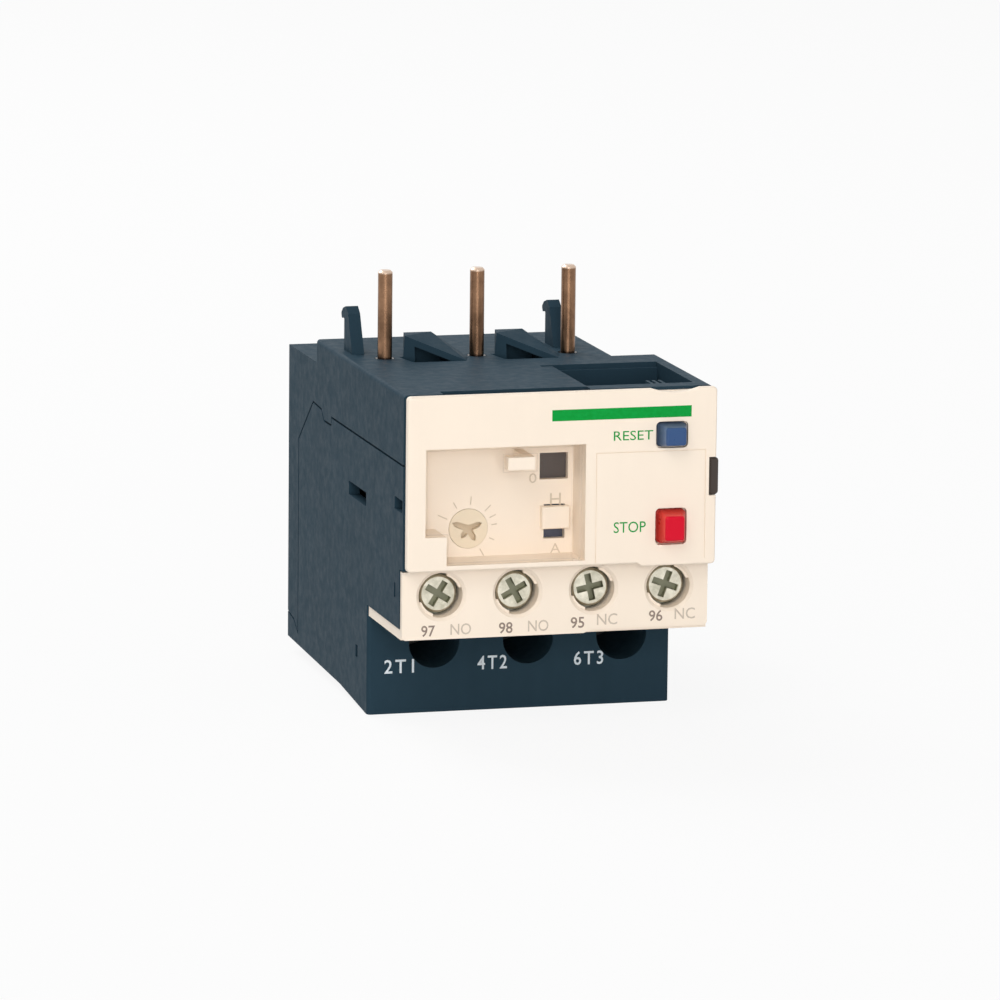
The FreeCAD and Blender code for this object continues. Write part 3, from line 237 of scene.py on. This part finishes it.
# Contact springs: leaves cut from rolled bronze strip, with the rolling lines along the leaf and a
# rivet for the contact near the free end.
bronze = metal("spring_bronze", srgb(214, 170, 120), srgb(176, 132, 88), (0.05, 1.0, 1.0), 2500.0)
paint(bronze, "open_contact_spring", "closed_contact_spring")

# Terminal screws: the three power screws are phosphated nearly black. The four small ones are
# passivated to a yellow green, and their cross recesses, from 5 mm depth on, are painted darker: partly
# forming oil and partly painted shade.
black_steel = metal("phosphated_steel", srgb(66, 66, 64), srgb(40, 40, 40), rough=(0.5, 0.65),
                    blotch=500.0)
paint(black_steel, "terminal_screw_1", "terminal_screw_2", "terminal_screw_3")
screw_steel = metal("passivated_screw_steel", srgb(224, 219, 203), srgb(182, 178, 160), scale=1800.0,
                    rough=(0.3, 0.5), blotch=700.0)
deeper(screw_steel, 5.0, 5.5, srgb(118, 118, 100))
paint(screw_steel, "auxiliary_screws")

# Front cover, terminal strip and mode selector: cream polycarbonate with a satin face. It has hardly
# any streaks, and its gloss varies a little where it has been handled.
cream_plastic = moulded("cream_plastic", srgb(244, 229, 211), bump=0.08, rough=(0.38, 0.5), mottle=0.008,
                        streaks=0.008)
paint(cream_plastic, "front_cover", "auxiliary_terminal_strip", "mode_selector")

# Selector plate: a strip of dark blue plastic behind the window's floor. It closes the part of the
# slot that the mode selector leaves open.
paint(moulded("selector_blue", srgb(52, 58, 88), bump=0.2), "selector_plate")

# Setting dial: cream plastic, a little yellower than the cover, as a separate moulding that turns in
# it. The floor of its screwdriver slot, between 6.7 and 7.2 mm behind the face, is painted darker as
# painted shade.
dial_plastic = moulded("dial_plastic", srgb(230, 214, 188), bump=0.08, rough=(0.35, 0.45), mottle=0.01,
                       streaks=0.01)
deeper(dial_plastic, 6.7, 7.2, srgb(214, 194, 164))
paint(dial_plastic, "setting_dial")

# Trip flag: a small plate, dark brown above and orange below, that the contact carriage lifts. Orange
# shows in the window once the relay has tripped.
flag, tree, shader = node_tree("trip_flag_colours")
orange_top = 35.6
border = band(tree, orange_top, orange_top + 0.05, "Z")
tone = ramp(tree, border, 0.0, 1.0, srgb(235, 120, 30), srgb(54, 40, 36))
tree.links.new(tone, shader.inputs["Base Color"])
tree.links.new(spread(tree, noise(tree, 900.0), 0.4, 0.55), shader.inputs["Roughness"])
paint(flag, "trip_flag")

# Push buttons: blue and red polycarbonate, moulded in one piece from the slider to the tapered head,
# which is polished and slightly scuffed. The flanks are painted paler than the face, as painted light
# for light that enters at the front and leaves through the flanks.
button_x = 15.95
reset_z = 43.0
reset_proud = 2.1
stop_z = 29.9
stop_proud = 2.0
face_depth = 0.15
flank_depth = 0.35
button_blue = moulded("button_blue", srgb(54, 82, 125), bump=0.06, rough=(0.25, 0.4), mottle=0.02,
                      streaks=0.01, level=0.2)
deeper(button_blue, face_depth - reset_proud, flank_depth - reset_proud, srgb(90, 113, 148))
paint(button_blue, "reset_button")
button_red = moulded("button_red", srgb(212, 10, 42), bump=0.06, rough=(0.25, 0.4), mottle=0.02,
                     streaks=0.01, level=0.15)
deeper(button_red, face_depth - stop_proud, flank_depth - stop_proud, srgb(230, 68, 60))
paint(button_red, "stop_button")


def place(points):
    """Body millimetres to frame metres: subtract the origin, then divide by a thousand."""
    return (np.asarray(points, float) - ORIGIN) / 1000.0


def new_piece(name, points, faces, material, body, smooth=0):
    """A painted piece that rides on a body, from points in frame metres. Its first faces are smooth."""
    mesh = bpy.data.meshes.new(name)
    mesh.from_pydata(np.asarray(points).tolist(), [], faces)
    mesh.polygons.foreach_set("use_smooth", [i < smooth for i in range(len(faces))])
    mesh.materials.append(material)
    piece = bpy.data.objects.new(name, mesh)
    bpy.context.scene.collection.objects.link(piece)
    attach(piece, body)
    return piece


def tube_faces(rows, around):
    """The quads between the rows of a tube, with how many they are, and after them its two end caps."""
    row, column = (grid.ravel() for grid in np.mgrid[:rows - 1, :around])
    beside = (column + 1) % around
    quads = np.stack([row * around + column, row * around + beside,
                      (row + 1) * around + beside, (row + 1) * around + column], 1)
    first = np.arange(around)[::-1]
    last = (rows - 1) * around + np.arange(around)
    return quads.tolist() + [first.tolist(), last.tolist()], len(quads)


def tapered_head(name, z, back, front, proud, material, body):
    """A head as a stack of rounded rectangles: half sizes go evenly from back to front size, then shrink
    along a quarter circle of 0.3 mm to the flat front. Corner radii go from 0.55 mm to 0.4 mm on the
    taper, and lose 0.6 mm for each millimetre of shrinkage past it."""
    edge = 0.3
    bend = np.radians([0, 18, 36, 54, 72, 90])
    depth = np.concatenate([[-0.01], -(proud - edge) - edge * np.sin(bend)])[:, None]
    taper = np.concatenate([[0.0], np.ones(len(bend))])[:, None]
    inset = np.concatenate([[0.0], edge * (1 - np.cos(bend))])[:, None]
    corner = 0.55 - 0.15 * taper - 0.6 * inset
    half = (np.array(back) * (1 - taper) + (np.array(front) + 2 * edge) * taper) / 2 - inset - corner
    quarter = np.radians([0, 15, 30, 45, 60, 75, 90])
    angle = np.concatenate([quarter + k * np.pi / 2 for k in range(4)])
    right = np.repeat([1, -1, -1, 1], len(quarter))
    above = np.repeat([1, 1, -1, -1], len(quarter))
    points = np.stack([button_x + right * half[:, :1] + corner * np.cos(angle),
                       np.broadcast_to(depth, (len(depth), len(angle))),
                       z + above * half[:, 1:] + corner * np.sin(angle)], -1)
    faces, flanks = tube_faces(len(depth), len(angle))
    new_piece(name, place(points.reshape(-1, 3)), faces, material, body, flanks)


tapered_head("reset_button_head", reset_z, (4.2, 3.3), (2.4, 2.0), reset_proud, button_blue,
             "reset")
tapered_head("stop_button_head", stop_z, (4.1, 4.75), (2.25, 2.95), stop_proud, button_red,
             "stop")

# Button springs: steel wire of 0.35 mm, coiled with six turns round each button's rod. The end turns
# are closed, and the spring shortens towards the end wall of its guide as the button goes in.
wire = metal("spring_wire", srgb(180, 180, 178), srgb(130, 130, 128), rough=(0.25, 0.4))
paint(wire, "reset_spring", "stop_spring")
wire_radius = 0.000175
turns = 6.0


def coil(name, node):
    """A round wire swept along a helix in the node's box: the angle grows evenly, and the rise slows to
    nothing at both ends, which closes them."""
    low, high = (np.array(corner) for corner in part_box(node))
    middle, length = (low + high) / 2, high[1] - low[1]
    radius = (high - low)[[0, 2]].min() / 2 - wire_radius
    along = np.linspace(0.0, 1.0, int(turns * 24) + 1)[:, None]
    angle = 2 * np.pi * turns * along
    end = 1.0 / turns
    rise = np.clip((along - end / 2) / (1 - end), 0.0, 1.0)
    height = low[1] + wire_radius + (length - 2 * wire_radius) * rise
    section = np.linspace(0.0, 2 * np.pi, 8, endpoint=False)[None]
    reach = radius + wire_radius * np.cos(section)
    points = np.stack([middle[0] + reach * np.cos(angle), height + wire_radius * np.sin(section),
                       middle[2] + reach * np.sin(angle)], -1)
    faces, flanks = tube_faces(*points.shape[:2])
    piece = new_piece(name, points.reshape(-1, 3), faces, wire, "housing", flanks)
    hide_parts(node)
    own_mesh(piece)


coil("reset_coil_spring", "reset_spring")
coil("stop_coil_spring", "stop_spring")

# Flap over the window: clear polycarbonate, 0.9 mm thick, that has turned slightly milky. It is
# denser where it is seen along its surface, at its edges and on its barrel.
flap, tree, shader = node_tree("clear_polycarbonate")
shader.inputs["Base Color"].default_value = srgb(240, 230, 216)
facing = add(tree, "ShaderNodeLayerWeight", in_Blend=0.2)
haze = add(tree, "ShaderNodeMapRange", in_1=0.0, in_2=1.0, in_3=0.015, in_4=0.3)
tree.links.new(facing.outputs["Facing"], haze.inputs[0])
tree.links.new(haze.outputs[0], shader.inputs["Alpha"])
tree.links.new(spread(tree, noise(tree, 500.0), 0.08, 0.16), shader.inputs["Roughness"])
paint(flap, "clear_cover")

# Printing on the cover: a green stripe and the words beside the buttons, pad printed. The ink stands
# 0.02 mm proud and follows the satin of the plastic.
ink_height = 0.02
cover_face = 0.0


def ink(name, colour, light):
    """Printed ink: its tone wavers a little and its gloss is that of a thin film."""
    material, tree, shader = node_tree(name)
    tone = ramp(tree, noise(tree, 1600.0, 3.0), 0.35, 0.65, colour, light)
    tree.links.new(tone, shader.inputs["Base Color"])
    tree.links.new(spread(tree, noise(tree, 900.0), 0.4, 0.55), shader.inputs["Roughness"])
    shader.inputs["Specular IOR Level"].default_value = 0.1
    return material


def bars(name, lines, width, front, back, material):
    """Flat bars from front to back: each line (x0, z0, x1, z1) grows by half the width to both sides."""
    lines = np.asarray(lines, float)
    start, end = lines[:, :2], lines[:, 2:]
    along = end - start
    across = np.stack([-along[:, 1], along[:, 0]], 1) / np.linalg.norm(along, axis=1, keepdims=True)
    across *= width / 2
    corners = np.stack([start - across, end - across, end + across, start + across], 1)
    both = np.concatenate([corners, corners], 1)
    depth = np.broadcast_to(np.repeat([front, back], 4), both.shape[:2])
    points = np.stack([both[..., 0], depth, both[..., 1]], -1).reshape(-1, 3)
    sides = [[0, 1, 2, 3], [7, 6, 5, 4], [0, 4, 5, 1], [1, 5, 6, 2], [2, 6, 7, 3], [3, 7, 4, 0]]
    faces = np.array(sides) + 8 * np.arange(len(lines))[:, None, None]
    new_piece(name, place(points), faces.reshape(-1, 4).tolist(), material, "housing")


def words(name, text, x0, x1, z0, z1, face, material, bold=0.0, spacing=1.0):
    """Lettering on a face: the font's outline, made a mesh and scaled to the box x0..x1, z0..z1."""
    curve = bpy.data.curves.new(name + "_outline", "FONT")
    curve.body = text
    curve.resolution_u = 3
    curve.offset = bold
    curve.space_character = spacing
    holder = bpy.data.objects.new(name + "_outline", curve)
    flat = bpy.data.meshes.new_from_object(holder)
    points = np.empty(len(flat.vertices) * 3)
    flat.vertices.foreach_get("co", points)
    points = points.reshape(-1, 3)
    faces = [list(polygon.vertices) for polygon in flat.polygons]
    low, high = points.min(0), points.max(0)
    share = (points - low)[:, :2] / (high - low)[:2]
    x, z = x0 + share[:, 0] * (x1 - x0), z0 + share[:, 1] * (z1 - z0)
    shape = np.stack([x, np.full(len(points), face - ink_height), z], 1)
    bpy.data.objects.remove(holder)
    bpy.data.curves.remove(curve)
    bpy.data.meshes.remove(flat)
    new_piece(name, place(shape), faces, material, "housing")


green_ink = ink("green_ink", srgb(2, 146, 54), srgb(6, 154, 62))
stripe_left, stripe_right = -1.65, 18.7
stripe_z, stripe_height = 46.3, 1.6
bars("green_stripe", [(stripe_left, stripe_z, stripe_right, stripe_z)], stripe_height,
     cover_face - ink_height, cover_face + 0.05, green_ink)
words("reset_word", "RESET", 7.35, 13.1, 42.42, 43.77, cover_face, green_ink)
words("stop_word", "STOP", 7.5, 12.2, 29.25, 30.8, cover_face, green_ink)

# Terminal marking on the strip: laser marked in grey below each screw, the numbers darker and bolder
# than the letters, which say whether the contact is normally open or closed.
strip_face = 3.0
mark_height = 1.6
number_width, kind_width = 2.0, 3.0
dark_mark = ink("dark_marking", srgb(138, 122, 112), srgb(152, 136, 124))
pale_mark = ink("pale_marking", srgb(196, 180, 164), srgb(206, 192, 176))
for number, x, z, kind, kind_x, kind_z in ((97, -19.55, 14.95, "NO", -15.3, 15.05),
                                           (98, -8.25, 14.95, "NO", -4.0, 15.05),
                                           (95, 2.25, 15.25, "NC", 6.1, 15.55),
                                           (96, 13.75, 15.75, "NC", 17.55, 15.9)):
    words("number_%d" % number, str(number), x, x + number_width, z, z + mark_height, strip_face,
          dark_mark, bold=0.012)
    words("kind_%d" % number, kind, kind_x, kind_x + kind_width, kind_z, kind_z + mark_height,
          strip_face, pale_mark, bold=0.004)

# Terminal marking on the base: white print beside each screwdriver hole, with the number of the load
# terminal and of its phase.
base_face = 21.7
white_mark = ink("white_marking", srgb(206, 216, 222), srgb(220, 228, 234))
for text, x in (("2T1", -20.0), ("4T2", -6.2), ("6T3", 8.2)):
    words("mark_" + text, text, x, x + 4.4, 5.9, 7.9, base_face, white_mark, 0.012, 1.28)

# Dial scale and selector marks on the window's floor: eight faint grey lines round the dial, a letter
# above and one below the selector, and a nought beside the trip window.
window_floor = 6.5
fine_mark = ink("fine_marking", srgb(206, 190, 168), srgb(214, 198, 178))
dial_centre = np.array([-11.9, 29.5])
inner_radius = 3.4
outer_radii = np.array([4.9, 4.4, 4.6, 4.6, 4.4, 4.2, 4.2, 5.2])[:, None]
angles = np.radians([155.0, 120.0, 85.0, 45.0, 25.0, 7.0, -25.0, -60.0])
outward = np.stack([np.cos(angles), np.sin(angles)], 1)
spokes = np.concatenate([dial_centre + inner_radius * outward, dial_centre + outer_radii * outward], 1)
bars("dial_scale", spokes, 0.16, window_floor - 0.03, window_floor + 0.02, fine_mark)
words("letter_h", "H", 0.0, 1.6, 32.4, 34.1, window_floor, fine_mark)
words("letter_a", "A", 0.1, 1.6, 25.5, 26.9, window_floor, fine_mark)
words("digit_0", "0", -3.1, -2.0, 35.65, 37.05, window_floor, fine_mark)


# Studio floor: pale grey under the lamps, so that it keeps the object's shadow, and nearly white where
# the camera or a reflection sees it. It lies 0.05 mm below the base.
def seen_by(tree, first, *others):
    """1 for a ray of any of these kinds, and 0 for the rest: the largest of the light path's outputs."""
    path = add(tree, "ShaderNodeLightPath")
    found = path.outputs[first]
    for kind in others:
        larger = add(tree, "ShaderNodeMath", operation="MAXIMUM")
        tree.links.new(found, larger.inputs[0])
        tree.links.new(path.outputs[kind], larger.inputs[1])
        found = larger.outputs[0]
    return found


floor_paint, tree, shader = node_tree("studio_floor")
shader.inputs["Base Color"].default_value = (0.7, 0.7, 0.7, 1.0)
shader.inputs["Roughness"].default_value = 0.9
white = add(tree, "ShaderNodeEmission", in_Strength=1.0)
whiteness = add(tree, "ShaderNodeMath", operation="MULTIPLY", in_1=0.9)
tree.links.new(seen_by(tree, "Is Camera Ray", "Is Glossy Ray"), whiteness.inputs[0])
both = add(tree, "ShaderNodeMixShader")
tree.links.new(whiteness.outputs[0], both.inputs[0])
tree.links.new(shader.outputs[0], both.inputs[1])
tree.links.new(white.outputs[0], both.inputs[2])
tree.links.new(both.outputs[0], tree.nodes["Material Output"].inputs["Surface"])
side = 3
level = place([0.0, 0.0, -0.05])[2]
corners = [(-side, -side, level), (side, -side, level), (side, side, level), (-side, side, level)]
mesh = bpy.data.meshes.new("floor")
mesh.from_pydata(corners, [], [[0, 1, 2, 3]])
mesh.materials.append(floor_paint)
floor = bpy.data.objects.new("floor", mesh)
bpy.context.scene.collection.objects.link(floor)

# Studio room: white to the camera, in gloss and through the flap, but only 0.3 as strong as a light,
# so that the lamps shape the object.
world = bpy.data.worlds.new("studio")
world.use_nodes = True
bpy.context.scene.world = world
tree = world.node_tree
room = tree.nodes["Background"]
room.inputs["Color"].default_value = (1.0, 1.0, 1.0, 1.0)
strength = add(tree, "ShaderNodeMapRange", in_1=0.0, in_2=1.0, in_3=0.3, in_4=1.0)
seen = seen_by(tree, "Is Camera Ray", "Is Transmission Ray", "Is Glossy Ray")
tree.links.new(seen, strength.inputs[0])
tree.links.new(strength.outputs[0], room.inputs["Strength"])


# Studio lamps: four large soft boxes, above at the left, in front, at the right and behind. Their
# places and sizes are in metres, and their power is in watts.
def stand(thing, right, up, back, position):
    """Stands a lamp or the camera in the scene: its axes and its place are the columns of its matrix."""
    matrix = np.eye(4)
    matrix[:3] = np.stack([right, up, back, position], 1)
    thing.matrix_world = matrix.T.tolist()
    bpy.context.scene.collection.objects.link(thing)


def soft_lamp(name, position, size, power):
    """A square lamp that faces the object's middle: its Z axis points from the middle to the lamp."""
    data = bpy.data.lights.new(name, "AREA")
    data.size = size
    data.energy = power
    back = np.array(position) / np.linalg.norm(position)
    right = np.cross([0, 0, 1.0], back)
    right /= np.linalg.norm(right)
    stand(bpy.data.objects.new(name, data), right, np.cross(back, right), back, position)


soft_lamp("key_lamp", (-0.5, -0.75, 0.8), 0.6, 3.9)
soft_lamp("front_lamp", (-0.2, -1.1, 0.2), 0.5, 5.2)
soft_lamp("fill_lamp", (0.8, -0.7, 0.35), 0.7, 0.8)
soft_lamp("back_lamp", (-0.3, 0.7, 0.8), 0.7, 8.3)

# Camera: about a metre away with a long lens, standing to the left and looking down a little. Its
# angles, its distance and its focal length in pixels were fitted to the picture, which is 1000 wide.
yaw, pitch, roll = np.radians([15.512149, 10.369619, -0.597089])
focal_pixels = 7047.1367
picture_pixels = 1000.0
sensor = 36.0
turn = np.array([[np.cos(yaw), -np.sin(yaw), 0], [np.sin(yaw), np.cos(yaw), 0], [0, 0, 1]])
tilt = np.array([[1, 0, 0], [0, np.cos(pitch), -np.sin(pitch)], [0, np.sin(pitch), np.cos(pitch)]])
lean = np.array([[np.cos(roll), 0, -np.sin(roll)], [0, 1, 0], [np.sin(roll), 0, np.cos(roll)]])
axes = lean @ tilt @ turn
body_from_camera = np.array([8.423335, 993.353984, -33.717882])
camera_data = bpy.data.cameras.new("camera")
camera_data.sensor_width = sensor
camera_data.lens = focal_pixels * sensor / picture_pixels
camera_data.clip_end = 20.0
camera = bpy.data.objects.new("camera", camera_data)
stand(camera, axes[0], axes[2], -axes[1], place(-axes.T @ body_from_camera))
bpy.context.scene.camera = camera
bpy.context.scene.view_settings.view_transform = "Standard"
